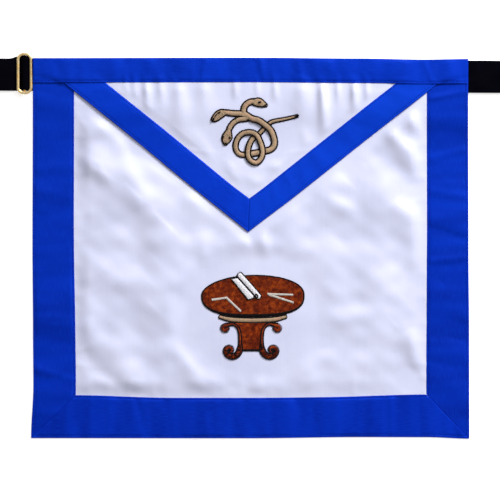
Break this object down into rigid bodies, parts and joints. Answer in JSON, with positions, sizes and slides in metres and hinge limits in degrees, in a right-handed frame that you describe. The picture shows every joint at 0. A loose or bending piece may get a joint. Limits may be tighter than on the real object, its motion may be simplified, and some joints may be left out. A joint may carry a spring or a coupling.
{
  "type": "masonic apron",
  "caption": "Ceremonial lodge apron laid flat: white satin panel and V-shaped flap bound in blue ribbon, two embroidered emblems, and a black elastic belt loop with a gold adjuster slide.",
  "frame": {"origin": "centre of the bounding box in plan, on the surface that the apron lies on", "axes": "+X along the waist to the right as seen from the front, +Y up the apron to the waist, +Z out of the front"},
  "size_m": [0.5504, 0.3602, 0.0093],
  "materials": {
    "satin": "white satin with a cool sheen",
    "ribbon": "royal blue ribbed ribbon, satin",
    "elastic": "black woven elastic, matte",
    "gilt": "polished gold plate",
    "dark_thread": "dark brown embroidery thread",
    "rust_thread": "rust brown embroidery thread",
    "tan_thread": "tan embroidery thread",
    "white_thread": "white embroidery thread"
  },
  "bodies": {
    "root": {"body_panel": "satin", "border_left": "ribbon", "border_right": "ribbon", "border_bottom": "ribbon", "waistband": "ribbon", "flap_panel": "satin", "flap_border_left": "ribbon", "flap_border_right": "ribbon", "serpent_outline": "dark_thread", "serpent": "tan_thread", "table_outline": "dark_thread", "table_top": "rust_thread", "table_rim": "tan_thread", "table_pedestal": "rust_thread", "scroll_page": "white_thread", "scroll_roll": "white_thread", "set_square": "white_thread", "compasses": "white_thread", "belt_left": "elastic", "belt_right": "elastic", "slide": "gilt", "clasp": "gilt"}
  },
  "joints": []
}
